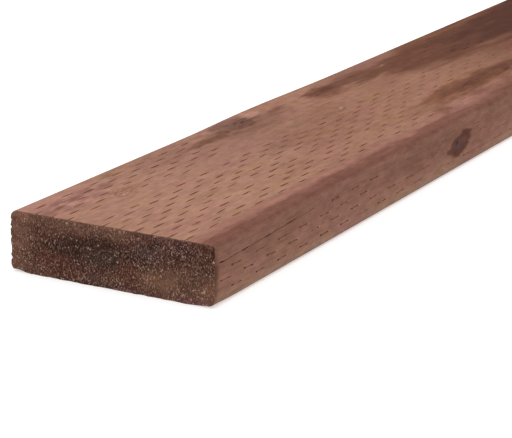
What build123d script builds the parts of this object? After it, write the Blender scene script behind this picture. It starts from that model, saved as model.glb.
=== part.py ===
from build123d import *
import os

# Pressure-treated pine board: one piece of surfaced 2 x 6 softwood, sold in 8 ft lengths.
# Frame: X along the board, Y across its width, Z up, with the origin under the middle of the
# board on the surface that it lies on. All sizes are in millimetres.

# Driving dimensions
INCH = 25.4
BOARD_LENGTH = 96 * INCH
BOARD_WIDTH = 5.5 * INCH
BOARD_THICKNESS = 1.5 * INCH
EASED_EDGE_RADIUS = 3 / 16 * INCH


def board_section():
    """The planed section in the YZ plane, resting on Z = 0, with its four long edges eased."""
    resting_plane = Plane.YZ.offset(-BOARD_LENGTH / 2)
    with BuildSketch(resting_plane) as section:
        with Locations((0, BOARD_THICKNESS / 2)):
            Rectangle(BOARD_WIDTH, BOARD_THICKNESS)
        fillet(section.vertices(), radius=EASED_EDGE_RADIUS)
    return section.sketch


def make_board():
    """The section run over the stock length, with both ends sawn square."""
    board = extrude(board_section(), amount=BOARD_LENGTH)
    board.label = "board"
    return board


os.makedirs("parts", exist_ok=True)
export_step(make_board(), "parts/board.step")
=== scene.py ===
"""Looks of the pressure-treated pine board: incised faces, eased edges, sawn end grain and brown stain."""

import math

import bpy
import numpy as np
from mathutils import Matrix, Vector
from mathutils.geometry import delaunay_2d_cdt


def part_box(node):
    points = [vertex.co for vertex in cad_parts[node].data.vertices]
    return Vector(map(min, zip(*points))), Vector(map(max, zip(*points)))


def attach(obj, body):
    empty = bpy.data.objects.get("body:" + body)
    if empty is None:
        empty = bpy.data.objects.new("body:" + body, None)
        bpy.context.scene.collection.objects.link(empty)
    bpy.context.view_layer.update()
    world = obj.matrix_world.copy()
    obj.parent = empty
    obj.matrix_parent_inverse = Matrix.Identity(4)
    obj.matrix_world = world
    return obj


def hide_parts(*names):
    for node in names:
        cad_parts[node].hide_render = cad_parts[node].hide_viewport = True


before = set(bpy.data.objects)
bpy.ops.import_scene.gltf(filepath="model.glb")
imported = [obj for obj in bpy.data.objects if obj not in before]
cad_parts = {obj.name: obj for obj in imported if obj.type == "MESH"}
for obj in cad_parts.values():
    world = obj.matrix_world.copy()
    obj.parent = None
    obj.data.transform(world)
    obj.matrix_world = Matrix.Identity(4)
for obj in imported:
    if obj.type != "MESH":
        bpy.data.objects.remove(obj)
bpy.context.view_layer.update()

# Board sizes, in millimetres. Lengths along the board are counted from its near end.
MM = 0.001
INCH = 25.4
board_low, board_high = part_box("board")
LENGTH, WIDTH, THICK = ((high - low) / MM for low, high in zip(board_low, board_high))
EDGE_RADIUS = 3 / 16 * INCH
GIRTH = 2 * (WIDTH + THICK)
EDGE_STEPS = 6
LINE_STEP = 14.2
END_FRAY = 0.3
CHIP_BACK = 2.5

# The near upper edge is crisper at the near end than along the rest of the board.
CRISP_EDGE_RADIUS = 2.6
CRISP_EDGE_FADE = (10.0, 160.0)
# The far upper edge is nearly square along a stretch, which begins and ends softly.
SQUARE_STRETCH_GAIN = 2.75
SQUARE_STRETCH_START = (200.0, 285.0)
SQUARE_STRETCH_END = (415.0, 295.0)
# The lower corners of the near end are worn: how far up, and over which reach across and along
FAR_CORNER_WEAR = 1.5
FAR_WEAR_ACROSS = (WIDTH - 15.0, WIDTH - 3.0)
FAR_WEAR_ALONG = (18.0, 0.0)
NEAR_CORNER_WEAR = 1.1
NEAR_WEAR_ACROSS = (14.0, 3.0)
NEAR_WEAR_ALONG = (24.0, 0.0)
CORNER_LEAN = 0.5
CORNER_LEAN_ALONG = (40.0, 0.0)

# Incisions: tooth marks in rows along the board
TOOTH_PITCH = 28.1
TOOTH_LENGTH = 12.6
TOOTH_WIDTH = 1.5
TOOTH_DEPTH = 1.4
TOOTH_DRIFT = 0.45
WIDE_ROWS = [12.5 + 5.8 * n for n in range(8)] + [59.7 + 5.48 * n for n in range(12)]
FAINT_WIDE_ROWS = (6, 7)
SECOND_ROLLER = 8
NARROW_ROWS = [10.6 + 6.3 * n for n in range(4)]
RIM_STATIONS = (-0.86, -0.5, 0.1, 0.65)
BED_STATIONS = (-0.7, 0.3)
# Place of the first mark of each row, taken in turn, and the share of marks with a torn end
ROW_PHASES = {
    "top": (15.2, 0.9),
    "near": (12.9, 26.0),
    "bottom": (7.0, 21.2),
    "far": (5.2, 18.6, 5.0, 4.8),
}
TORN_SHARES = {"top": 0.05, "near": 0.6, "bottom": 0.0, "far": 0.6}
TORN_FROM_STRENGTH = 0.8

# How sure and how strong the marks are in plain wood, in the faint rows and in stained wood
FIRM_BITE = (0.97, 1.0)
FAINT_BITE = (0.12, 0.7)
STAINED_BITE = (0.16, 0.55)
BEFORE_END = -2 * TOOTH_PITCH
# The same by stretches of a face: limits along it, limits across it, bite; the first that fits counts
BITES = {
    "top": [
        (185, 900, 0, 46, STAINED_BITE),
        (520, 900, 0, 68, STAINED_BITE),
        (365, 560, 92, WIDTH, STAINED_BITE),
        (52, 76, 33, 44, (0.97, 0.3)),
        (BEFORE_END, 120, 0, WIDTH, (0.97, 0.88)),
        (BEFORE_END, 420, 0, WIDTH, (0.93, 0.98)),
        (BEFORE_END, 720, 0, WIDTH, (0.93, 0.9)),
    ],
    "near": [
        (BEFORE_END, 215, 0, THICK, (1.0, 0.98)),
        (BEFORE_END, 720, 0, THICK, (0.6, 0.8)),
    ],
    "bottom": [],
    "far": [(BEFORE_END, TOOTH_LENGTH, 0, THICK, (1.0, 1.9))],
}

# Drying check that opens the first row of the near narrow face at the near end
CHECK_START = 4.0
CHECK_LENGTH = 128.0
CHECK_STEP = 2.8
CHECK_HALF_WIDTH = 0.19
CHECK_DEPTH = 2.6
CHECK_BELOW_ROW = 1.3
CHECK_CLIMB = 2.4
PIT_OFFSET = 5.0
PIT_HALF_WIDTH = 0.34
PIT_REACH = (0.8, 3.6)

# End grain
END_GRID = 0.9
END_ROUGHNESS = 0.32
END_CHIPS = 120

# Material slots of the board's mesh
FACE, END, CUT, TORN = range(4)

dice = np.random.default_rng(26)


def smooth(value, start, end):
    """Runs from 0 at start to 1 at end with level ends."""
    share = min(max((value - start) / (end - start), 0.0), 1.0)
    return share * share * (3 - 2 * share)


class LongFace:
    """One long face, unrolled: its start corner, the direction across it and its outward normal in YZ."""

    def __init__(self, start, across, normal, width, around, chip):
        self.start = Vector(start)
        self.across = Vector(across)
        self.normal = Vector(normal)
        self.width = width
        self.around = around
        self.chip = chip


HALF = WIDTH / 2
FACES = {
    "top": LongFace((HALF, THICK), (-1, 0), (0, 1), WIDTH, 0, 0.4),
    "near": LongFace((-HALF, THICK), (0, -1), (-1, 0), THICK, WIDTH, 0.3),
    "bottom": LongFace((-HALF, 0), (1, 0), (0, -1), WIDTH, WIDTH + THICK, 0.4),
    "far": LongFace((HALF, 0), (0, 1), (1, 0), THICK, 2 * WIDTH + THICK, 0.7),
}


class Skin:
    """Collects the board's vertices and triangles, strip by strip round the section."""

    def __init__(self):
        self.points = []
        self.along = []
        self.around = []
        self.local = []
        self.triangles = []
        self.kinds = []

    def vertex(self, s, y, z, around, local=(0.0, 0.0)):
        self.points.append((s - LENGTH / 2, y, z))
        self.along.append(s)
        self.around.append(around)
        self.local.append(local)
        return len(self.points) - 1

    def on_face(self, face, s, t, depth=0.0, local=(0.0, 0.0)):
        y, z = face.start + face.across * t - face.normal * (depth + corner_wear(face, s, t))
        return self.vertex(s, y, z, face.around + t, local)

    def stitch(self, first, second, kind):
        """Fills the strip between two chains of vertices that both run along the board."""
        i = j = 0
        while i < len(first) - 1 or j < len(second) - 1:
            last_of_second = j == len(second) - 1
            more_of_first = i < len(first) - 1
            if last_of_second or (
                more_of_first and self.along[first[i + 1]] <= self.along[second[j + 1]]
            ):
                corners = (first[i], second[j], first[i + 1])
                i += 1
            else:
                corners = (first[i], second[j], second[j + 1])
                j += 1
            if len(set(corners)) == 3:
                self.triangles.append(corners)
                self.kinds.append(kind)


class Line:
    """A plain chain of vertices along the board."""

    def __init__(self, chain):
        self.upper = self.lower = chain
        self.start = [chain[0]]
        self.end = [chain[-1]]


class Row:
    """A row of grooves: the chains over and under them, and its corners on the two ends."""

    def __init__(self, upper, lower, start, end):
        self.upper, self.lower = upper, lower
        self.start, self.end = start, end


def frayed(s):
    """Moves a place on an end a little way in, as a saw leaves it."""
    if s <= 0:
        return dice.uniform(0, END_FRAY)
    if s >= LENGTH:
        return LENGTH - dice.uniform(0, END_FRAY)
    return s


def chipped(face, s):
    """How far the rim of an end is chipped off at a place: nothing away from the ends."""
    return dice.uniform(0, face.chip) if s <= 0 or s >= LENGTH else 0.0


LINE_PLACES = np.linspace(0, LENGTH, round(LENGTH / LINE_STEP) + 1)
LINE_PLACES = np.insert(LINE_PLACES, (1, -1), (CHIP_BACK, LENGTH - CHIP_BACK))


def face_line(skin, face, t):
    """A line along a face at the distance t from its start."""
    return Line([skin.on_face(face, frayed(s), t, chipped(face, s)) for s in LINE_PLACES])


def edge_line(skin, before, after, radius, share):
    """A line on the rounded edge between two faces; share runs from 0 on the first to 1 on the second."""
    angle = share * math.pi / 2
    chain = []
    for s in LINE_PLACES:
        lean = corner_lean(before, s)
        sideways = after.normal * (1 - math.sin(angle)) * (1 - lean)
        upward = before.normal * (1 - math.cos(angle)) * (1 + 0.4 * lean)
        wear = before.normal * corner_wear(before, s, before.width) * (1 - share)
        wear += after.normal * corner_wear(after, s, 0.0) * share
        y, z = after.start - (sideways + upward) * (radius(s) + chipped(before, s)) - wear
        around = (before.around + before.width) + radius(s) * (2 * share - 1)
        chain.append(skin.vertex(frayed(s), y, z, around))
    return Line(chain)


def carve(skin, face, rim, bed):
    """Cuts one groove from rim stations (s, t, half width, local) and bed stations (s, t, depth, local)."""
    upper, lower = [], []
    for s, t, half, local in rim:
        upper.append(skin.on_face(face, s, t - half, 0, (local, 0)))
        lower.append(upper[-1] if half == 0 else skin.on_face(face, s, t + half, 0, (local, 0)))
    bottom = [skin.on_face(face, s, t, depth, (local, 1)) for s, t, depth, local in bed]
    if upper[0] == lower[0]:
        bottom.insert(0, upper[0])
    if upper[-1] == lower[-1]:
        bottom.append(upper[-1])
    skin.stitch(upper, bottom, CUT)
    skin.stitch(bottom, lower, CUT)
    return upper, lower, bottom


def wide_tooth(place):
    """Share of a tooth mark's width at a place from -1 to 1 along it, on the wide faces: a lens."""
    return max(0.0, 1 - place * place) ** 0.6 * (1 - 0.25 * place)


def narrow_tooth(place):
    """The same on the narrow faces: a small pit that runs out in a thin line with a smaller pit."""
    pits = 0.95 * smooth(place, -0.5, -0.8) + 0.5 * smooth(place, 0.3, 0.65)
    return 0.22 + pits if abs(place) < 1 else 0.0


def tooth_mark(skin, face, t, centre, strength, torn):
    """One incision, cut off where it runs out over an end of the board."""
    half_length = TOOTH_LENGTH / 2 * dice.uniform(0.86, 1.12)
    half_width = TOOTH_WIDTH / 2 * dice.uniform(0.6, 1.25) * strength
    depth = TOOTH_DEPTH * dice.uniform(0.55, 1.2) * strength
    slant = dice.uniform(-0.25, 0.25)
    profile = wide_tooth if face.width > THICK else narrow_tooth
    first = max(-1.0, -centre / half_length)
    last = min(1.0, (LENGTH - centre) / half_length)
    room = 0.06
    rim_places = [p for p in RIM_STATIONS if first + room < p < last - room]
    bed_places = [p for p in BED_STATIONS if first + room < p < last - room]
    if first > -1:
        bed_places = [first] + bed_places
    if last < 1:
        bed_places = bed_places + [last]
    rim_places = [first] + rim_places + [last]
    rim = [(centre + p * half_length, t + slant * p, half_width * profile(p), p) for p in rim_places]
    bed = [(centre + p * half_length, t + slant * p, depth * (1 - 0.8 * p * p), p) for p in bed_places]
    if torn and last == 1:
        splinter(skin, face, centre + 0.9 * half_length, t + slant)
    return carve(skin, face, rim, bed)


def splinter(skin, face, s, t):
    """A pale flake of torn fibre that stands up at the end of an incision."""
    length, half, rise = dice.uniform(1.0, 2.0), dice.uniform(0.3, 0.5), dice.uniform(0.25, 0.5)
    left = skin.on_face(face, s, t - half, 0.1, (0, 0))
    right = skin.on_face(face, s, t + half, 0.1, (0, 1))
    tip = skin.on_face(face, s + length, t, -rise, (1, 0.5))
    root = skin.on_face(face, s + 0.6 * length, t, 0.4, (0.5, 0.5))
    for corners in ((left, right, tip), (right, root, tip), (root, left, tip), (left, root, right)):
        skin.triangles.append(corners)
        skin.kinds.append(TORN)


def drying_check(skin, face, t, phase):
    """The long check that joins the pits of a row's first tooth marks, near the near end."""
    rim, bed = [], []
    length = CHECK_LENGTH - CHECK_START
    for s in np.arange(CHECK_START, CHECK_LENGTH + CHECK_STEP / 2, CHECK_STEP):
        share = (s - CHECK_START) / length
        off_pit = abs((s - phase + PIT_OFFSET + TOOTH_PITCH / 2) % TOOTH_PITCH - TOOTH_PITCH / 2)
        pit = PIT_HALF_WIDTH * (1 - smooth(off_pit, *PIT_REACH))
        fade = 1 - 0.65 * smooth(share, 0.65, 1)
        half = (CHECK_HALF_WIDTH * dice.uniform(0.5, 1.5) + pit) * fade
        drift = t + CHECK_BELOW_ROW - CHECK_CLIMB * smooth(share, 0, 1) + dice.uniform(-0.25, 0.25)
        rim.append((s, drift, half, share))
        bed.append((s, drift, CHECK_DEPTH * fade, share))
    for tip in (0, -1):
        rim[tip] = rim[tip][:2] + (0,) + rim[tip][3:]
    return carve(skin, face, rim, bed[1:-1])


def bite(name, n, s, t):
    """How sure and how strong the tooth marks are at a place: weaker in hard, stained or knotty wood."""
    if name == "top" and n in FAINT_WIDE_ROWS:
        return FAINT_BITE
    for s_from, s_to, t_from, t_to, marks in BITES[name]:
        if s_from < s < s_to and t_from < t < t_to:
            return marks
    return FIRM_BITE


def incision_row(skin, name, n, t, phase):
    """One row of incisions along a face at the distance t from its start."""
    face = FACES[name]
    grooves = []
    begin = -TOOTH_LENGTH
    if name == "near" and n == 0:
        grooves.append(drying_check(skin, face, t, phase))
        begin = CHECK_LENGTH + TOOTH_LENGTH / 2 + 1
    reach = TOOTH_LENGTH * 0.3
    for centre in np.arange(phase - TOOTH_PITCH, LENGTH + TOOTH_LENGTH, TOOTH_PITCH):
        place = centre + dice.uniform(-0.7, 0.7)
        sure, strength = bite(name, n, place, t)
        wanted = dice.random() < sure
        torn = dice.random() < TORN_SHARES[name] * (strength > TORN_FROM_STRENGTH)
        if wanted and place > begin and -reach < place < LENGTH + reach:
            wobble = dice.uniform(-0.2, 0.2)
            grooves.append(tooth_mark(skin, face, t + wobble, place, strength, torn))
    return join_grooves(skin, face, t, grooves)


def join_grooves(skin, face, t, grooves):
    """Joins the grooves of a row into two chains, with single vertices on the plain wood between them."""
    upper, lower, start, end = [], [], [], []

    def plain(s):
        corner = skin.on_face(face, frayed(s), t, chipped(face, s))
        upper.append(corner)
        lower.append(corner)
        return [corner]

    def plain_stretch(s_from, s_to):
        parts = math.ceil((s_to - s_from) / (1.5 * LINE_STEP))
        for part in range(1, parts):
            plain(s_from + (s_to - s_from) * part / parts)

    reached = 0.0
    for rim_upper, rim_lower, bottom in grooves:
        if rim_upper[0] != rim_lower[0]:
            start = [rim_upper[0], bottom[0], rim_lower[0]]
        elif not start:
            start = plain(0)
        if rim_upper[-1] != rim_lower[-1]:
            end = [rim_upper[-1], bottom[-1], rim_lower[-1]]
        plain_stretch(reached, skin.along[rim_upper[0]])
        upper += rim_upper
        lower += rim_lower
        reached = skin.along[rim_upper[-1]]
    if not start:
        start = plain(0)
    if not end:
        plain_stretch(reached, LENGTH)
        end = plain(LENGTH)
    return Row(upper, lower, start, end)


def face_columns(skin, name):
    """The lines and rows across one face, without the lines where its rounded edges begin."""
    face = FACES[name]
    narrow = name in ("near", "far")
    places = NARROW_ROWS if narrow else WIDE_ROWS
    if name in ("bottom", "far"):
        places = [face.width - t for t in reversed(places)]
    phases = ROW_PHASES[name]
    columns = []
    for n, t in enumerate(places):
        if n > 0:
            columns.append(face_line(skin, face, (places[n - 1] + t) / 2))
        drift = TOOTH_DRIFT * max(0, n - SECOND_ROLLER)
        columns.append(incision_row(skin, name, n, t, phases[n % len(phases)] + drift))
    return columns


def near_upper_radius(s):
    """Radius of the near upper edge, which wavers a little along the board."""
    waver = 0.25 * math.sin(s / 23) + 0.2 * math.sin(s / 9.1 + 1)
    return CRISP_EDGE_RADIUS + (EDGE_RADIUS - CRISP_EDGE_RADIUS) * smooth(s, *CRISP_EDGE_FADE) + waver


def far_upper_radius(s):
    """Radius of the far upper edge, which is nearly square beside the large stain."""
    stretch = smooth(s, *SQUARE_STRETCH_START) * smooth(s, *SQUARE_STRETCH_END)
    return EDGE_RADIUS - SQUARE_STRETCH_GAIN * stretch


def plain_radius(s):
    return EDGE_RADIUS


def corner_wear(face, s, t):
    """How far the bottom is worn up at the two corners of the near end."""
    if face is not FACES["bottom"]:
        return 0.0
    far_corner = FAR_CORNER_WEAR * smooth(t, *FAR_WEAR_ACROSS) * smooth(s, *FAR_WEAR_ALONG)
    near_corner = NEAR_CORNER_WEAR * smooth(t, *NEAR_WEAR_ACROSS) * smooth(s, *NEAR_WEAR_ALONG)
    return far_corner + near_corner


def corner_lean(before, s):
    """How much steeper than round the lower far edge is worn at its near corner."""
    return CORNER_LEAN * smooth(s, *CORNER_LEAN_ALONG) if before is FACES["bottom"] else 0.0


def section_columns(skin):
    """All lines and rows round the section, in order, starting on the top at its far edge."""
    names = list(FACES)
    support = 1.2
    columns = []
    for index, name in enumerate(names):
        face = FACES[name]
        after = FACES[names[(index + 1) % len(names)]]
        radius = {"top": near_upper_radius, "far": far_upper_radius}.get(name, plain_radius)
        columns.append(face_line(skin, face, EDGE_RADIUS + support))
        columns += face_columns(skin, name)
        columns.append(face_line(skin, face, face.width - EDGE_RADIUS - support))
        for step in range(EDGE_STEPS + 1):
            columns.append(edge_line(skin, face, after, radius, step / EDGE_STEPS))
    return columns


def end_face(skin, outline, inward):
    """Fills one sawn end with a rough grid; inward is +1 on the near end and -1 on the far one."""
    rim = np.array([skin.points[v] for v in outline])
    flat = rim[:, 1:]
    y, z = np.meshgrid(
        np.arange(-HALF + END_GRID, HALF, END_GRID), np.arange(END_GRID, THICK, END_GRID), indexing="ij"
    )
    inner = np.column_stack([y.ravel(), z.ravel()])
    inner += dice.uniform(-0.32, 0.32, inner.shape) * END_GRID
    inner = inner[clearance(inner, flat) > 0.4 * END_GRID]
    spots = [Vector(p) for p in np.vstack([flat, inner])]
    count = len(outline)
    edges = [(i, (i + 1) % count) for i in range(count)]
    placed, _, faces, came_from, _, _ = delaunay_2d_cdt(spots, edges, [], 1, 1e-7)
    base = rim[:, 0].mean() + LENGTH / 2
    index = {}
    for i, sources in enumerate(came_from):
        on_rim = [j for j in sources if j < count]
        if on_rim:
            index[i] = outline[on_rim[0]]
    for corners in faces:
        for i in corners:
            if i not in index:
                depth = END_ROUGHNESS * dice.random() ** 2
                index[i] = skin.vertex(base + inward * depth, placed[i].x, placed[i].y, 0)
        a, b, c = (placed[i] for i in corners)
        turned = (b - a).cross(c - a) * -inward > 0
        skin.triangles.append(tuple(index[i] for i in (corners if turned else reversed(corners))))
        skin.kinds.append(END)


def end_chips(skin, inward):
    """Pale chips of torn fibre that stand on a sawn end."""
    base = 0 if inward > 0 else LENGTH
    for _ in range(END_CHIPS):
        y = dice.uniform(-HALF + 6, HALF - 6)
        z = dice.uniform(4, THICK - 4)
        turn = dice.uniform(0, 2 * math.pi)
        length, half = dice.uniform(0.6, 1.8), dice.uniform(0.25, 0.55)
        ahead = Vector((math.cos(turn), math.sin(turn)))
        aside = Vector((-math.sin(turn), math.cos(turn)))
        spots = (aside * half, aside * -half, ahead * length, ahead * 0.4 * length)
        depths = (0.3, 0.3, -dice.uniform(0.05, 0.35), 0.6)
        local = ((0, 0), (0, 1), (1, 0.5), (0.5, 0.5))
        left, right, tip, root = (
            skin.vertex(base + inward * depth, y + spot.x, z + spot.y, 0, place)
            for spot, depth, place in zip(spots, depths, local)
        )
        for corners in ((left, tip, right), (right, tip, root), (root, tip, left), (left, right, root)):
            skin.triangles.append(corners if inward > 0 else corners[::-1])
            skin.kinds.append(TORN)


def clearance(points, outline):
    """Distance of each point from the nearest side of a closed outline."""
    nearest = np.full(len(points), np.inf)
    for a, b in zip(outline, np.roll(outline, -1, axis=0)):
        side = b - a
        share = np.clip((points - a) @ side / max(side @ side, 1e-9), 0, 1)
        nearest = np.minimum(nearest, np.linalg.norm(points - a - share[:, None] * side, axis=1))
    return nearest


# Bake map: bands of the unrolled long faces, over a strip that holds the ends and the cuts
MAP_BANDS = 2
MAP_OVERLAP = 16.0
MAP_STRIP = 0.085
MAP_END_WIDTH = 0.3
MAP_CUT_START = 0.72
MAP_CUT_SIZE = 0.06


def unrolled_places(along, around):
    """Places of the long faces' corners on the bake map."""
    spread = (around.max(1) - around.min(1))[:, None]
    around = np.where((spread > GIRTH / 2) & (around < GIRTH / 2), around + GIRTH, around)
    band_length = LENGTH / MAP_BANDS
    band_height = (1 - MAP_STRIP) / MAP_BANDS
    band = np.minimum(along.mean(1) // band_length, MAP_BANDS - 1)[:, None]
    share = (around + EDGE_RADIUS) / (GIRTH + 2 * EDGE_RADIUS)
    u = (along - band * band_length + MAP_OVERLAP) / (band_length + 2 * MAP_OVERLAP)
    v = MAP_STRIP + band_height * (band + 0.01 + 0.98 * share)
    return np.stack([u, v], -1)


def end_places(points):
    """Places of the ends' corners, side by side in the strip."""
    far_end = (points[..., 0].mean(1) > 0)[:, None]
    u = 0.01 + far_end * (MAP_END_WIDTH + 0.02) + MAP_END_WIDTH * (points[..., 1] + HALF) / WIDTH
    v = 0.005 + (MAP_STRIP - 0.012) * points[..., 2] / THICK
    return np.stack([u, v], -1)


def cut_places(local, torn):
    """Places of the cuts' corners, which share one spot of the strip, and of torn fibre beside it."""
    u = MAP_CUT_START + 0.1 * torn[:, None] + MAP_CUT_SIZE * (local[..., 0] + 1) / 2
    v = 0.01 + MAP_CUT_SIZE * local[..., 1]
    return np.stack([u, v], -1)


def bake_map(skin):
    """Places of each triangle's corners on the bake map."""
    corners, kinds = np.array(skin.triangles), np.array(skin.kinds)
    along, around = np.array(skin.along)[corners], np.array(skin.around)[corners]
    points, local = np.array(skin.points)[corners], np.array(skin.local)[corners]
    torn = kinds == TORN
    on_end = (kinds == END)[:, None, None]
    in_cut = ((kinds == CUT) | torn)[:, None, None]
    places = np.where(on_end, end_places(points), unrolled_places(along, around))
    return np.where(in_cut, cut_places(local, torn), places)


def board_mesh():
    """The whole board as one closed mesh."""
    skin = Skin()
    columns = section_columns(skin)
    for column, following in zip(columns, columns[1:] + columns[:1]):
        skin.stitch(column.lower, following.upper, FACE)
    end_face(skin, [v for column in columns for v in column.start], 1)
    end_face(skin, [v for column in columns for v in column.end], -1)
    end_chips(skin, 1)
    end_chips(skin, -1)
    mesh = bpy.data.meshes.new("incised_board")
    mesh.from_pydata([Vector(p) * MM for p in skin.points], [], skin.triangles)
    mesh.polygons.foreach_set("material_index", skin.kinds)
    mesh.polygons.foreach_set("use_smooth", [True] * len(skin.triangles))
    bake_layer = mesh.uv_layers.new(name="OFBake")
    bake_layer.uv.foreach_set("vector", bake_map(skin).ravel().astype(np.float32))
    mesh.set_sharp_from_angle(angle=math.radians(35))
    mesh.validate()
    return mesh


def srgb(red, green, blue):
    """A screen colour, 0 to 255, as the linear colour that a shader takes."""
    shares = (c / 255 for c in (red, green, blue))
    return tuple(c / 12.92 if c <= 0.04045 else ((c + 0.055) / 1.055) ** 2.4 for c in shares) + (1.0,)


# Colours of the stained wood
TAN = srgb(175, 131, 110)
PINK = srgb(172, 123, 111)
ROSE = srgb(160, 111, 99)
BLUSH = srgb(186, 136, 122)
OCHRE = srgb(171, 128, 102)
MAUVE = srgb(138, 96, 88)
STAIN_AND_SHADE = srgb(114, 74, 58)
DEEP_STAIN_AND_SHADE = srgb(86, 53, 43)
RUST = srgb(134, 89, 66)
KNOT = srgb(104, 67, 57)
KNOT_HEART = srgb(108, 82, 82)
KNOT_DARK = srgb(74, 52, 56)
KNOT_RED = srgb(128, 82, 68)
PALE = srgb(200, 164, 138)
ASH = srgb(108, 84, 74)
END_DARK = srgb(80, 50, 41)
END_PALE_AND_GLINT = srgb(190, 145, 126)
END_FLECK_AND_GLINT = srgb(212, 180, 162)
END_SIDE = srgb(132, 94, 76)
END_RIM = srgb(150, 107, 88)
END_BLUE = srgb(86, 68, 67)
END_CORE = srgb(56, 37, 30)
END_PURPLE = srgb(112, 68, 77)
END_RED = srgb(94, 53, 43)
END_OCHRE = srgb(124, 90, 66)
END_GREY = srgb(66, 54, 49)
CUT_BROWN = srgb(147, 97, 74)
CUT_PALE = srgb(166, 116, 94)
TORN_LIGHT = srgb(208, 172, 154)
RUSSET = srgb(126, 82, 70)
UMBER = srgb(150, 112, 94)


class Paint:
    """Short forms for the nodes of one material, which work in millimetres of the board's own frame."""

    def __init__(self, name):
        self.material = bpy.data.materials.new(name)
        self.material.use_nodes = True
        self.nodes, self.links = self.material.node_tree.nodes, self.material.node_tree.links
        self.shader = self.nodes["Principled BSDF"]
        self.shader.inputs["Specular IOR Level"].default_value = 0.05
        metres = self.nodes.new("ShaderNodeTexCoord").outputs["Object"]
        self.place = self.vector("MULTIPLY", metres, (1 / MM, 1 / MM, 1 / MM))

    def feed(self, socket, value):
        if isinstance(value, bpy.types.NodeSocket):
            self.links.new(value, socket)
        else:
            socket.default_value = value

    def vector(self, operation, *values):
        node = self.nodes.new("ShaderNodeVectorMath")
        node.operation = operation
        for socket, value in zip(node.inputs, values):
            self.feed(socket, value)
        return node.outputs["Value" if operation == "LENGTH" else "Vector"]

    def math(self, operation, *values):
        node = self.nodes.new("ShaderNodeMath")
        node.operation = operation
        for socket, value in zip(node.inputs, values):
            self.feed(socket, value)
        return node.outputs[0]

    def fade(self, value, start, end, low=0.0, high=1.0):
        """Runs smoothly from low where the value is at start to high where it is at end."""
        node = self.nodes.new("ShaderNodeMapRange")
        node.interpolation_type = "SMOOTHSTEP"
        limits = {"Value": value, "From Min": start, "From Max": end, "To Min": low, "To Max": high}
        for name, number in limits.items():
            self.feed(node.inputs[name], number)
        return node.outputs["Result"]

    def scaled(self, centre, size, place=None):
        """The place seen from a centre and divided by a size along each axis."""
        inverse = tuple(1 / c for c in size)
        moved = tuple(-c / d for c, d in zip(centre, size))
        return self.vector("MULTIPLY_ADD", place or self.place, inverse, moved)

    def noise(self, size, detail=2.0, seed=0.0, colour=False, rough=0.5):
        """Cloudy noise with features of about the given size along each axis."""
        node = self.nodes.new("ShaderNodeTexNoise")
        offset = (seed * 31.0, seed * 17.0, seed * 23.0)
        inverse = tuple(1 / c for c in size)
        self.feed(node.inputs["Vector"], self.vector("MULTIPLY_ADD", self.place, inverse, offset))
        node.inputs["Scale"].default_value = 1.0
        node.inputs["Detail"].default_value = detail
        node.inputs["Roughness"].default_value = rough
        return node.outputs["Color" if colour else "Fac"]

    def blend(self, factor, first, second):
        node = self.nodes.new("ShaderNodeMix")
        node.data_type = "RGBA"
        self.feed(node.inputs["Factor"], factor)
        self.feed(node.inputs[6], first)
        self.feed(node.inputs[7], second)
        return node.outputs[2]

    def shade(self, colour, factor):
        """The colour made lighter or darker by a factor."""
        node = self.nodes.new("ShaderNodeVectorMath")
        node.operation = "SCALE"
        self.feed(node.inputs[0], colour[:3] if isinstance(colour, tuple) else colour)
        self.feed(node.inputs["Scale"], factor)
        return node.outputs["Vector"]

    def wandering(self, size, reach, seed, detail=5.0):
        """The place, shifted to and fro by noise, for ragged patches."""
        cloud = self.noise(size, detail, seed, colour=True, rough=0.65)
        centred = self.vector("SUBTRACT", cloud, (0.5, 0.5, 0.5))
        return self.vector("MULTIPLY_ADD", centred, reach, self.place)

    def away(self, place, centre, size):
        """Distance from a patch's centre (from near end, from far edge, height), 1 on its rim."""
        s, t, z = centre
        return self.vector("LENGTH", self.scaled((s - LENGTH / 2, HALF - t, z), size, place))

    def spot(self, colour, place, centre, size, tint, strength, core=0.3, grit=None, fringe=None):
        """A soft patch of another colour; grit breaks it up and a fringe draws its rim out."""
        away = self.away(place, centre, size)
        if fringe:
            away = self.math("ADD", away, fringe)
        cover = self.fade(away, 1.0, core, 0.0, strength)
        if grit:
            cover = self.both(cover, self.fade(grit, 0.36, 0.6))
        return self.blend(cover, colour, tint)

    def spots(self, colour, place, table, grit=None, fringe=None):
        """All the patches of a table, one over the other."""
        for centre, size, tint, strength, core in table:
            colour = self.spot(colour, place, centre, size, tint, strength, core, grit, fringe)
        return colour

    def both(self, first, second):
        return self.math("MULTIPLY", first, second)

    def bump(self, height, strength, distance):
        node = self.nodes.new("ShaderNodeBump")
        node.inputs["Strength"].default_value = strength
        node.inputs["Distance"].default_value = distance * MM
        self.links.new(height, node.inputs["Height"])
        self.links.new(node.outputs["Normal"], self.shader.inputs["Normal"])

    def finish(self, colour, roughness):
        self.feed(self.shader.inputs["Base Color"], colour)
        self.feed(self.shader.inputs["Roughness"], roughness)
        return self.material


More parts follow.
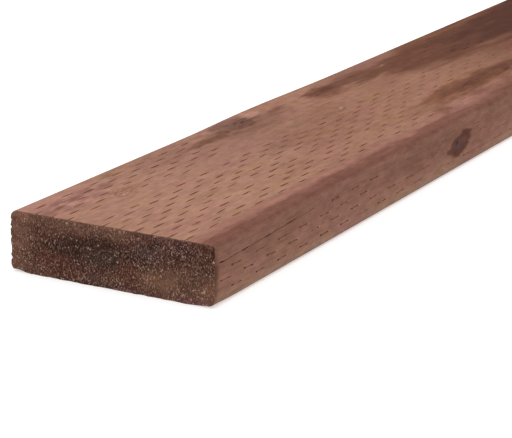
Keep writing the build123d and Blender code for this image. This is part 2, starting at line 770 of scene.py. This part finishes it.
# Patches on the faces: (from near end, from far edge, height), half sizes, colour, strength, solid core
EVERYWHERE = 10 * LENGTH
PATCHES = [
    ((28, 14, 38), (66, 26, 12), BLUSH, 0.75, 0.5),
    ((66, 37, 38), (26, 6, 5), RUST, 0.35, 0.1),
    ((150, 14, 38), (80, 28, 10), MAUVE, 0.42, 0.2),
    ((230, 46, 38), (165, 58, 8), MAUVE, 0.42, 0.1),
    ((560, 70, 38), (340, 130, 12), RUST, 0.34, 0.6),
    ((246, 12, 38), (46, 16, 12), MAUVE, 0.75, 0.3),
    ((250, 30, 38), (62, 15, 8), STAIN_AND_SHADE, 0.45, 0.2),
    ((240, 102, 38), (140, 20, 8), RUST, 0.26, 0.4),
    ((262, 72, 38), (84, 26, 8), RUST, 0.36, 0.3),
    ((370, 24, 38), (26, 11, 8), STAIN_AND_SHADE, 0.75, 0.5),
    ((368, 22, 38), (34, 14, 10), MAUVE, 0.6, 0.3),
    ((452, 12, 38), (95, 13, 10), MAUVE, 0.55, 0.4),
    ((215, 119, 38), (95, 8, 8), RUST, 0.3, 0.3),
    ((590, 76, 38), (66, 18, 8), STAIN_AND_SHADE, 0.4, 0.3),
    ((472, 48, 38), (52, 13, 8), STAIN_AND_SHADE, 0.6, 0.2),
    ((362, 32, 38), (30, 9, 8), RUST, 0.7, 0.3),
    ((308, 12, 38), (34, 12, 8), RUST, 0.18, 0.4),
    ((410, 50, 38), (46, 14, 8), RUST, 0.25, 0.2),
    ((308, 50, 38), (40, 14, 8), RUST, 0.22, 0.3),
    ((720, 75, 38), (310, 110, 30), STAIN_AND_SHADE, 0.8, 0.15),
    ((300, WIDTH, 22), (110, 6, 11), STAIN_AND_SHADE, 0.3, 0.2),
    ((1240, 96, 38), (150, 22, 20), STAIN_AND_SHADE, 0.5, 0.2),
    ((1660, 40, 38), (260, 26, 20), MAUVE, 0.5, 0.2),
    ((2150, 84, 38), (210, 30, 20), STAIN_AND_SHADE, 0.45, 0.2),
    ((700, 90, 0), (420, 40, 20), STAIN_AND_SHADE, 0.5, 0.2),
    ((1700, 60, 0), (520, 46, 20), MAUVE, 0.5, 0.2),
    ((1100, 0, 18), (330, 20, 16), STAIN_AND_SHADE, 0.4, 0.2),
]
# The long dark band along the far edge and the brown swirl beside it
BANDS = [
    ((252, 18, 38), (34, 12, 10), STAIN_AND_SHADE, 0.75, 0.3),
    ((202, 21, 38), (48, 5.5, 8), STAIN_AND_SHADE, 0.8, 0.3),
    ((290, 22, 38), (30, 8, 6), STAIN_AND_SHADE, 0.6, 0.1),
    ((370, 21, 38), (27, 10, 10), STAIN_AND_SHADE, 0.95, 0.4),
    ((424, 25, 38), (62, 14, 12), STAIN_AND_SHADE, 0.9, 0.4),
    ((492, 33, 38), (72, 23, 12), STAIN_AND_SHADE, 0.95, 0.4),
    ((598, 34, 38), (175, 43, 40), STAIN_AND_SHADE, 1.0, 0.45),
    ((940, 28, 38), (390, 54, 60), STAIN_AND_SHADE, 1.0, 0.45),
    ((756, 38, 38), (233, 63, 60), DEEP_STAIN_AND_SHADE, 1.0, 0.4),
    ((635, 7, 38), (125, 10, 8), RUST, 0.4, 0.3),
    ((448, 105, 38), (124, 18, 8), RUST, 1.0, 0.4),
    ((486, 104, 38), (116, 14, 8), STAIN_AND_SHADE, 0.85, 0.3),
    ((1150, 122, 38), (210, 10, 8), RUST, 0.7, 0.3),
    ((1500, 22, 38), (190, 15, 10), RUST, 0.8, 0.3),
    ((1905, 108, 38), (250, 16, 10), STAIN_AND_SHADE, 0.6, 0.3),
    ((2290, 34, 38), (150, 20, 12), STAIN_AND_SHADE, 0.7, 0.3),
    ((410, 62, 0), (250, 22, 10), STAIN_AND_SHADE, 0.6, 0.3),
    ((1270, 104, 0), (310, 18, 10), RUST, 0.8, 0.3),
    ((2060, 42, 0), (270, 26, 10), STAIN_AND_SHADE, 0.7, 0.3),
    ((330, 0, 20), (180, 8, 9), RUST, 0.7, 0.3),
    ((1640, 0, 14), (240, 8, 8), STAIN_AND_SHADE, 0.5, 0.3),
]
# Patches that the grain breaks up into small flecks
GRITTY_PATCHES = [
    ((36, 24, 38), (56, 17, 8), MAUVE, 0.7, 0.3),
    ((44, 15, 38), (40, 12, 8), STAIN_AND_SHADE, 0.2, 0.0),
    ((246, 13, 38), (38, 12, 10), ASH, 0.8, 0.3),
    ((238, 19, 38), (54, 12, 10), DEEP_STAIN_AND_SHADE, 0.6, 0.2),
    ((252, 20, 38), (18, 8, 8), DEEP_STAIN_AND_SHADE, 0.6, 0.3),
    ((371, 22, 38), (28, 9, 8), DEEP_STAIN_AND_SHADE, 0.45, 0.3),
    ((560, 36, 38), (190, 30, 10), DEEP_STAIN_AND_SHADE, 0.35, 0.3),
    ((480, 106, 38), (110, 13, 8), DEEP_STAIN_AND_SHADE, 0.5, 0.2),
]
# Centre and half sizes of the stained stretch where the grain shows least
DULL_STRETCH = ((640, 40, 38), (360, 70, 60))
# Tints that run along the whole board, or most of it, beside the near edges; some waver with the grain.
# Several of them are painted shade and painted light, as noted row by row
LONG_TINTS_AND_SHADING = [
    (True, (0, 126, 38), (EVERYWHERE, 8, 6), ROSE, 0.7, 0.3),
    # Painted shade: russet over the rounded near upper edge, which turns away from the light; the tan strip
    # below lightens its side-facing part
    (True, (0, WIDTH + 2, THICK + 6), (EVERYWHERE, 17.6, 10.5), RUSSET, 0.88, 0.78),
    (False, (0, WIDTH + 1, 35), (EVERYWHERE, 3, 5), TAN, 0.6, 0.3),
    (True, (0, WIDTH + 2, 12), (EVERYWHERE, 6, 32), ROSE, 0.35, 0.5),
    # Partly a redder tone of the near face, partly painted shade that darkens it towards the top
    (True, (0, WIDTH + 2, 34), (EVERYWHERE, 6, 24), RUSSET, 0.35, 0.4),
    (True, (430, WIDTH + 1, 38), (120, 9, 9), UMBER, 0.24, 0.4),
    # Painted light: the pale strip along the bottom of the near face stands in for light thrown up from the
    # floor
    (True, (0, WIDTH, 0), (EVERYWHERE, 5, 11), PALE, 0.5, 0.2),
    # Painted shade: a dark line along the far upper edge, where its rounding turns from the light
    (False, (0, 0, THICK), (EVERYWHERE, 5, 6), STAIN_AND_SHADE, 0.6, 0.0),
    # Painted shade: a dark smudge on the near face at the near end, where it meets the end
    (False, (0, WIDTH, 19), (7, 8, 26), DEEP_STAIN_AND_SHADE, 0.75, 0.1),
]
# Tints of short stretches along the near upper edge and on the near narrow face; the russet on the rounded
# upper edge is painted shade and the blush low on the near face is painted light
EDGE_SPOTS_AND_SHADING = [
    ((362, 122, 38), (22, 9, 8), STAIN_AND_SHADE, 0.58, 0.2),
    ((430, 121, 38), (24, 9, 8), STAIN_AND_SHADE, 0.6, 0.2),
    ((486, 121, 38), (24, 9, 8), STAIN_AND_SHADE, 0.55, 0.2),
    ((392, 121, 38), (24, 6, 6), PINK, 0.85, 0.3),
    ((460, 124, 38), (36, 8, 7), STAIN_AND_SHADE, 0.3, 0.3),
    ((468, 118, 38), (16, 4, 6), PINK, 0.3, 0.3),
    ((458, 132, 37), (40, 8, 8), STAIN_AND_SHADE, 0.68, 0.3),
    # Painted shade: russet on the rounded near upper edge, here and at 172, 24, 410 and 286 along
    ((238, 129, 38), (60, 5, 6), RUSSET, 0.55, 0.3),
    ((172, 133, 38), (42, 6, 6), RUSSET, 0.4, 0.3),
    ((385, 130, 38), (52, 5, 6), PINK, 0.4, 0.3),
    ((24, 134, 38), (36, 4, 5), RUSSET, 0.95, 0.5),
    ((410, 138, 37), (42, 5, 6), RUSSET, 0.5, 0.3),
    # Painted light: blush low on the near face, where the lower rounded edge is in shade; more of it at 174
    # along
    ((176, WIDTH, 3), (40, 9, 8), BLUSH, 0.85, 0.4),
    # Painted shade: russet at the top of the near face, under the rounded upper edge, here and at 326 along
    ((276, WIDTH, 33), (36, 6, 5), RUSSET, 0.4, 0.2),
    ((286, 138, 37), (52, 3.5, 4), RUSSET, 0.15, 0.3),
    ((380, WIDTH, 5), (60, 6, 7), ROSE, 0.35, 0.3),
    ((384, WIDTH, 15), (40, 6, 8), RUSSET, 0.2, 0.3),
    ((326, WIDTH, 32), (36, 6, 4), RUSSET, 0.25, 0.3),
    ((52, WIDTH, 15), (10, 6, 6), PINK, 0.35, 0.2),
    ((73, WIDTH, 18), (13, 6, 6), OCHRE, 0.3, 0.2),
    ((95, WIDTH, 9), (13, 6, 5), OCHRE, 0.3, 0.2),
    # Painted light: more blush low on the near face
    ((174, WIDTH, 7), (34, 6, 6), BLUSH, 0.45, 0.3),
    ((280, WIDTH, 19), (44, 6, 7), STAIN_AND_SHADE, 0.22, 0.2),
]
# Small chips of light and dark wood, most of them round the large stain; one pale spot on the far upper
# edge is a painted highlight
CHIPS_AND_GLINT = [
    ((256, 15, 38), (13, 6, 6), DEEP_STAIN_AND_SHADE, 0.7, 0.4),
    ((236, 14, 38), (17, 5.5, 6), ASH, 0.45, 0.3),
    ((220, 19, 38), (19, 3.5, 6), STAIN_AND_SHADE, 0.7, 0.3),
    ((302, 18.5, 38), (20, 5, 6), STAIN_AND_SHADE, 0.5, 0.3),
    ((204, 22, 38), (24, 3, 6), STAIN_AND_SHADE, 0.6, 0.3),
    ((376, 21, 38), (13, 5, 6), DEEP_STAIN_AND_SHADE, 0.5, 0.3),
    ((278, 11, 38), (13, 6, 6), BLUSH, 0.9, 0.5),
    ((198, 13, 38), (9, 4, 6), BLUSH, 0.7, 0.4),
    ((215, 10.5, 38), (8, 4, 6), BLUSH, 0.6, 0.4),
    # Painted highlight: a pale glint on the far upper edge beside the stain
    ((276, 4, 38), (5, 1.6, 4), PALE, 0.5, 0.2),
    ((258, 19, 38), (7, 3, 4), KNOT_DARK, 0.8, 0.3),
    ((329, 56, 38), (4, 2.4, 3), PALE, 0.5, 0.2),
    ((331, 58, 38), (4, 1.6, 3), STAIN_AND_SHADE, 0.6, 0.2),
    ((470, 22, 38), (5, 1.2, 3), PALE, 0.4, 0.2),
    ((452, 41, 38), (22, 2.5, 4), RUST, 0.6, 0.3),
    ((38, 20, 38), (8, 2.6, 4), STAIN_AND_SHADE, 0.5, 0.3),
    ((20, 23, 38), (7, 2.4, 4), STAIN_AND_SHADE, 0.45, 0.3),
    ((56, 11, 38), (8, 2.4, 4), BLUSH, 0.6, 0.3),
    ((75, 19, 38), (10, 5, 4), ASH, 0.4, 0.2),
    ((89, 10, 38), (13, 4.5, 4), ASH, 0.38, 0.2),
    ((4, 24, 38), (10, 9, 5), MAUVE, 0.6, 0.2),
    ((37, 19, 38), (10, 4, 4), MAUVE, 0.6, 0.2),
    ((19, 23, 38), (7, 2.4, 4), DEEP_STAIN_AND_SHADE, 0.4, 0.2),
    ((57, 17, 38), (10, 2.4, 4), ROSE, 0.6, 0.2),
]
# Paler flakes that break up the large stain
FLAKY_PATCHES = [
    ((228, 17, 38), (74, 13, 8), UMBER, 0.48, 0.3),
]
# Centre and half sizes of a crumbly spot of short fibres
CRUMBLY_SPOT = ((64, 37, 38), (20, 11, 6))


def base_hue(paint):
    """The wood's own colour, which runs from ochre over tan to pink."""
    hue = paint.noise((46, 14, 14), 3.0, 1)
    colour = paint.blend(paint.fade(hue, 0.5, 0.75), TAN, PINK)
    return paint.blend(paint.fade(hue, 0.48, 0.25), colour, OCHRE)


def long_tints_and_shading(paint, colour):
    """The tints along the board's near edges, with the painted shade and painted light among them."""
    waver = paint.wandering((40, 9, 9), (0, 7, 7), 4)
    for wavers, centre, size, tint, strength, core in LONG_TINTS_AND_SHADING:
        place = waver if wavers else paint.place
        colour = paint.spot(colour, place, centre, size, tint, strength, core)
    return colour


def crumbly_spot(paint, colour, crumbled):
    """A spot of short torn fibres: dark lines and pale flecks."""
    lines = paint.noise((5.5, 1.1, 1.1), 2.0, 19)
    flecks = paint.noise((3.5, 1.0, 1.0), 1.0, 21)
    cover = paint.fade(paint.away(crumbled, *CRUMBLY_SPOT), 1.0, 0.3)
    colour = paint.blend(paint.both(cover, paint.fade(lines, 0.5, 0.68, 0.0, 0.85)), colour, STAIN_AND_SHADE)
    return paint.blend(paint.both(cover, paint.fade(flecks, 0.58, 0.7, 0.0, 0.8)), colour, PALE)


def grain_light(paint, streak, fibre):
    """How much lighter or darker the grain makes a place, as a factor round 1."""
    mottle = paint.noise((9, 4, 4), 4.0, 9, rough=0.65)
    streaks = paint.fade(streak, 0.2, 0.8, -0.05, 0.05)
    light = paint.math("ADD", streaks, paint.fade(fibre, 0.2, 0.8, -0.1, 0.12))
    light = paint.math("ADD", light, paint.fade(mottle, 0.25, 0.75, -0.16, 0.15))
    light = paint.math("SUBTRACT", light, growth_rings(paint))
    calm = paint.fade(paint.away(paint.place, *DULL_STRETCH), 1.0, 0.4, 1.0, 0.45)
    return paint.math("MULTIPLY_ADD", light, calm, 1.0)


def stained_face():
    """Brown stained long grain with its blotches, streaks, stain patches and knots, and painted shade and
    light along its edges.
    """
    paint = Paint("stained_face")
    ragged = paint.wandering((30, 10, 10), (40, 15, 12), 3)
    billowy = paint.wandering((30, 10, 10), (40, 15, 12), 3, detail=2.0)
    crumbled = paint.wandering((9, 4, 4), (14, 5, 4), 17)
    fringe = paint.math("MULTIPLY_ADD", paint.noise((56, 7, 7), 1.4, 15, rough=0.45), 0.8, -0.4)
    grit = paint.noise((16, 4.5, 4.5), 4.0, 11, rough=0.6)
    flakes = paint.noise((7, 2.0, 2.0), 3.0, 23, rough=0.6)
    streak = paint.noise((90, 2.6, 2.6), 3.0, 5)
    fibre = paint.noise((14, 0.6, 0.6), 2.0, 7)
    colour = paint.spots(base_hue(paint), ragged, PATCHES)
    colour = paint.spots(colour, billowy, BANDS, fringe=fringe)
    colour = paint.spots(colour, ragged, GRITTY_PATCHES, grit)
    # Tints along the edges, among them painted shade on the rounded edges and painted light low on the near
    # face
    colour = long_tints_and_shading(paint, colour)
    colour = paint.spots(colour, ragged, EDGE_SPOTS_AND_SHADING)
    colour = paint.spots(colour, crumbled, CHIPS_AND_GLINT)
    colour = paint.spots(colour, ragged, FLAKY_PATCHES, flakes)
    colour = crumbly_spot(paint, colour, crumbled)
    colour = knots(paint, colour, ragged)
    colour = paint.spots(colour, crumbled, KNOT_FLECKS)
    paint.bump(fibre, 0.25, 0.3)
    roughness = paint.fade(streak, 0.2, 0.8, 0.8, 0.95)
    return paint.finish(paint.shade(colour, grain_light(paint, streak, fibre)), roughness)


# Tints on the ends, in the same form as the patches
END_PATCHES = [
    ((0, 0, 19), (EVERYWHERE, 21, 60), END_SIDE, 0.7, 0.0),
    ((0, 42, 39), (EVERYWHERE, 78, 13), END_SIDE, 0.8, 0.1),
    ((0, 6, 38), (EVERYWHERE, 20, 13), END_SIDE, 0.85, 0.2),
    ((0, 124, 5), (EVERYWHERE, 60, 24), END_SIDE, 0.6, 0.1),
    ((0, 8, 2), (EVERYWHERE, 38, 11), END_SIDE, 0.75, 0.1),
    ((0, 56, 20), (EVERYWHERE, 44, 11), END_CORE, 1.0, 0.4),
    ((0, 31, 10), (EVERYWHERE, 20, 9), END_RED, 0.6, 0.2),
    ((0, 82, 11), (EVERYWHERE, 15, 10), END_RED, 0.6, 0.2),
    ((0, 108, 12), (EVERYWHERE, 22, 9), END_OCHRE, 0.5, 0.1),
    ((0, 63, 17), (EVERYWHERE, 18, 9), END_GREY, 0.6, 0.2),
    ((0, 95, 25), (EVERYWHERE, 15, 9), END_BLUE, 0.65, 0.1),
    ((0, 62, 3), (EVERYWHERE, 15, 7), END_BLUE, 0.65, 0.1),
    ((0, 116, 33), (EVERYWHERE, 16, 7), END_PURPLE, 0.5, 0.1),
    ((0, 114, 31), (EVERYWHERE, 26, 8), END_CORE, 0.7, 0.1),
    ((0, 71, 6), (EVERYWHERE, 14, 7), END_SIDE, 0.35, 0.1),
    ((0, 70, 34), (EVERYWHERE, 15, 8), END_SIDE, 0.4, 0.2),
    ((0, 30, 34), (EVERYWHERE, 15, 8), END_SIDE, 0.25, 0.2),
    ((0, 79, 0), (EVERYWHERE, 12, 4), END_PURPLE, 0.8, 0.2),
    ((0, 127, 0), (EVERYWHERE, 24, 5), END_PURPLE, 0.85, 0.2),
]
# Centre and half sizes of the ends' frayed upper rim, of their calm core and of their liveliest part
END_UPPER_RIM = ((0, HALF, THICK + 0.4), (EVERYWHERE, EVERYWHERE, 2.0))
END_CALM_CORE = ((0, 54, 21), (EVERYWHERE, 48, 14))
END_LIVELY_PART = ((0, 92, 3), (EVERYWHERE, 66, 13))

# Growth rings round a pith under the board, in millimetres
PITH = (0, -14, -46)
RING_STEP = 5.2
RING_DARKNESS = 0.05


def growth_rings(paint):
    """How much darker the late wood of the growth rings is."""
    wander = paint.math("MULTIPLY", paint.noise((420, 46, 46), 2.0, 13), 26.0)
    across = paint.scaled(PITH, (1e6, 1, 1))
    ring = paint.math("DIVIDE", paint.math("ADD", paint.vector("LENGTH", across), wander), RING_STEP)
    return paint.fade(paint.math("FRACT", ring), 0.4, 0.95, 0.0, RING_DARKNESS)


# Knots: (from near end, from far edge, height), half sizes
KNOTS = [
    ((343, WIDTH, 16.4), (16, 14, 8.2)),
    ((357, WIDTH, 20.4), (14.5, 14, 8.4)),
    ((1040, 106, THICK), (22, 13, 16)),
    ((1418, 84, THICK), (17, 12, 14)),
    ((1985, 36, THICK), (24, 15, 16)),
    ((1210, WIDTH, 15), (19, 12, 9)),
    ((2060, WIDTH, 22), (15, 12, 8)),
    ((610, 78, 0), (21, 13, 14)),
    ((1530, 44, 0), (26, 16, 14)),
    ((980, 0, 20), (20, 12, 9)),
    ((1780, 0, 17), (17, 12, 8)),
]
KNOT_HEARTS = [
    ((347, WIDTH, 17.4), (11.2, 10, 6.6)),
    ((1038, 107, THICK), (11, 7, 9)),
    ((1416, 85, THICK), (8, 6, 8)),
    ((1988, 35, THICK), (12, 8, 9)),
    ((1208, WIDTH, 15), (9, 8, 5)),
    ((608, 79, 0), (11, 7, 8)),
    ((1534, 45, 0), (13, 8, 8)),
    ((978, 0, 20), (10, 8, 5)),
]
# Flecks in the knot that the near narrow face shows
KNOT_FLECKS = [
    ((344, WIDTH, 20.3), (4.5, 8, 2.6), KNOT_DARK, 0.8, 0.3),
    ((357, WIDTH, 20.4), (7, 8, 3.4), KNOT_RED, 0.75, 0.3),
    ((332, WIDTH, 16.6), (5, 8, 2.4), KNOT, 0.7, 0.3),
    ((359, WIDTH, 26), (4, 8, 2.2), KNOT, 0.7, 0.3),
]


def knots(paint, colour, ragged):
    """Knots with a brown ring and a bluish heart."""
    for centre, size in KNOTS:
        colour = paint.spot(colour, ragged, centre, tuple(c * 1.25 for c in size), RUST, 0.4, 0.4)
    for centre, size in KNOTS:
        colour = paint.spot(colour, ragged, centre, size, KNOT, 0.85, 0.66)
    for centre, size in KNOT_HEARTS:
        colour = paint.spot(colour, ragged, centre, size, KNOT_HEART, 0.8, 0.2)
    return colour


def end_grain():
    """Dark sawn end grain full of light torn fibres, partly their own pale colour and partly painted glints
    where they catch the light.
    """
    paint = Paint("end_grain")
    grain = paint.noise((3, 0.64, 1.35), 3.0, 2, rough=0.55)
    tufts = paint.noise((3, 1.2, 1.2), 1.0, 8)
    clusters = paint.noise((30, 16, 10), 3.0, 12)
    cloud = paint.noise((30, 13, 8), 3.0, 4)
    wide = paint.wandering((20, 12, 12), (8, 10, 10), 6)
    dark = paint.spots(END_DARK, wide, END_PATCHES)
    dark = paint.shade(dark, paint.fade(cloud, 0.3, 0.7, 0.68, 1.32))
    fuzzy = paint.wandering((3, 1.4, 1.4), (2, 1.4, 1.4), 14)
    dark = paint.spot(dark, fuzzy, *END_UPPER_RIM, END_RIM, 0.6, 0.2)
    hush = paint.fade(paint.away(wide, *END_CALM_CORE), 1.0, 0.3, 1.0, 0.62)
    lively = paint.fade(paint.away(wide, *END_LIVELY_PART), 1.0, 0.3, 1.0, 1.35)
    liveliness = paint.both(hush, lively)
    # Pale fibre specks and flecks: partly the fibres' own colour, partly painted glints of light on them
    fibres = paint.both(paint.fade(grain, 0.45, 0.78), paint.fade(clusters, 0.3, 0.6, 0.7, 0.94))
    colour = paint.blend(paint.both(fibres, liveliness), dark, END_PALE_AND_GLINT)
    flecks = paint.both(paint.fade(tufts, 0.645, 0.715), paint.fade(clusters, 0.35, 0.6, 0.3, 1.0))
    colour = paint.blend(paint.both(flecks, liveliness), colour, END_FLECK_AND_GLINT)
    paint.bump(grain, 0.5, 0.5)
    return paint.finish(colour, 0.9)


def cut_wall():
    """Dark crushed wood inside the incisions, darker in the stained bands."""
    paint = Paint("incision")
    crushed = paint.noise((6, 0.8, 0.8), 2.0, 1)
    colour = paint.spot(CUT_PALE, paint.place, (0, HALF, 19), (420, 200, 200), CUT_BROWN, 1.0, 0.4)
    for centre, size, _, strength, core in BANDS:
        colour = paint.spot(colour, paint.place, centre, size, DEEP_STAIN_AND_SHADE, strength, core)
    return paint.finish(paint.shade(colour, paint.fade(crushed, 0.3, 0.7, 0.7, 1.3)), 0.9)


def torn_fibre():
    """Pale fibres lifted at one end of an incision."""
    paint = Paint("torn_fibre")
    strand = paint.noise((5, 0.5, 0.5), 2.0, 3)
    return paint.finish(paint.shade(TORN_LIGHT, paint.fade(strand, 0.3, 0.7, 0.75, 1.15)), 0.9)


def make_board():
    mesh = board_mesh()
    for material in (stained_face(), end_grain(), cut_wall(), torn_fibre()):
        mesh.materials.append(material)
    board = bpy.data.objects.new("incised_board", mesh)
    bpy.context.scene.collection.objects.link(board)
    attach(board, "root")
    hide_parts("board")
    return board


# Picture size, in pixels, and the camera of the photograph
PICTURE_WIDTH = 512
FOCAL_PIXELS = 2156.1
SENSOR_WIDTH = 36.0
CAMERA_PLACE = (-2.2300, -0.6391, 0.4038)
CAMERA_HEADING = math.radians(28.254)
CAMERA_PITCH = math.radians(16.775)
CAMERA_ROLL = math.radians(0.783)


def make_camera():
    data = bpy.data.cameras.new("camera")
    data.sensor_width = SENSOR_WIDTH
    data.lens = SENSOR_WIDTH * FOCAL_PIXELS / PICTURE_WIDTH
    data.clip_end = 50
    camera = bpy.data.objects.new("camera", data)
    flat = math.cos(CAMERA_PITCH)
    forth, sideways = math.cos(CAMERA_HEADING), math.sin(CAMERA_HEADING)
    ahead = Vector((forth * flat, sideways * flat, -math.sin(CAMERA_PITCH)))
    right = Vector((sideways, -forth, 0))
    up = right.cross(ahead)
    rolled_right = right * math.cos(CAMERA_ROLL) + up * math.sin(CAMERA_ROLL)
    rolled_up = up * math.cos(CAMERA_ROLL) - right * math.sin(CAMERA_ROLL)
    turn = Matrix((rolled_right, rolled_up, -ahead)).transposed()
    camera.matrix_world = Matrix.Translation(CAMERA_PLACE) @ turn.to_4x4()
    bpy.context.scene.collection.objects.link(camera)
    bpy.context.scene.camera = camera


# Floor and light: the floor's size and the lamp's place in metres, its power in watts
FLOOR_SIZE = 30.0
FLOOR_WHITE = 0.8
FLOOR_GLOW = 0.08
FLOOR_SEEN_GLOW = 0.55
SKY_LEVEL = 0.38
KEY_POWER = 55.0
KEY_SIZE = 3.6
KEY_PLACE = (-0.7, 0.25, 2.4)


def seen_rays(nodes, links):
    """A factor of 1 for what the camera, a reflection or glass shows, and 0 for light on the object."""
    path = nodes.new("ShaderNodeLightPath")
    first = nodes.new("ShaderNodeMath")
    first.operation = "MAXIMUM"
    links.new(path.outputs["Is Camera Ray"], first.inputs[0])
    links.new(path.outputs["Is Glossy Ray"], first.inputs[1])
    second = nodes.new("ShaderNodeMath")
    second.operation = "MAXIMUM"
    links.new(first.outputs[0], second.inputs[0])
    links.new(path.outputs["Is Transmission Ray"], second.inputs[1])
    return second.outputs[0]


def level(nodes, links, lighting, seen):
    """One strength for the light that falls on the object and another for what is seen."""
    choice = nodes.new("ShaderNodeMapRange")
    choice.inputs["To Min"].default_value = lighting
    choice.inputs["To Max"].default_value = seen
    links.new(seen_rays(nodes, links), choice.inputs["Value"])
    return choice.outputs["Result"]


def make_floor():
    """A white floor that keeps the board's shadow and adds a little glow where it is seen."""
    half = FLOOR_SIZE / 2
    mesh = bpy.data.meshes.new("floor")
    corners = [(-half, -half, 0), (half, -half, 0), (half, half, 0), (-half, half, 0)]
    mesh.from_pydata(corners, [], [(0, 1, 2, 3)])
    material = bpy.data.materials.new("floor_white")
    material.use_nodes = True
    nodes, links = material.node_tree.nodes, material.node_tree.links
    shader = nodes["Principled BSDF"]
    shader.inputs["Base Color"].default_value = (FLOOR_WHITE, FLOOR_WHITE, FLOOR_WHITE, 1)
    shader.inputs["Roughness"].default_value = 1.0
    shader.inputs["Specular IOR Level"].default_value = 0.0
    shader.inputs["Emission Color"].default_value = (1, 1, 1, 1)
    links.new(level(nodes, links, FLOOR_GLOW, FLOOR_SEEN_GLOW), shader.inputs["Emission Strength"])
    mesh.materials.append(material)
    floor = bpy.data.objects.new("floor", mesh)
    bpy.context.scene.collection.objects.link(floor)


def make_light():
    """An even white sky and one large soft lamp over the board."""
    world = bpy.data.worlds.new("studio")
    world.use_nodes = True
    nodes, links = world.node_tree.nodes, world.node_tree.links
    sky = nodes["Background"]
    sky.inputs["Color"].default_value = (1, 1, 1, 1)
    links.new(level(nodes, links, SKY_LEVEL, 1.0), sky.inputs["Strength"])
    bpy.context.scene.world = world
    lamp = bpy.data.lights.new("softbox", "AREA")
    lamp.shape = "SQUARE"
    lamp.size = KEY_SIZE
    lamp.energy = KEY_POWER
    holder = bpy.data.objects.new("softbox", lamp)
    holder.location = KEY_PLACE
    bpy.context.scene.collection.objects.link(holder)


bpy.context.scene.view_settings.view_transform = "Standard"
make_board()
make_floor()
make_light()
make_camera()
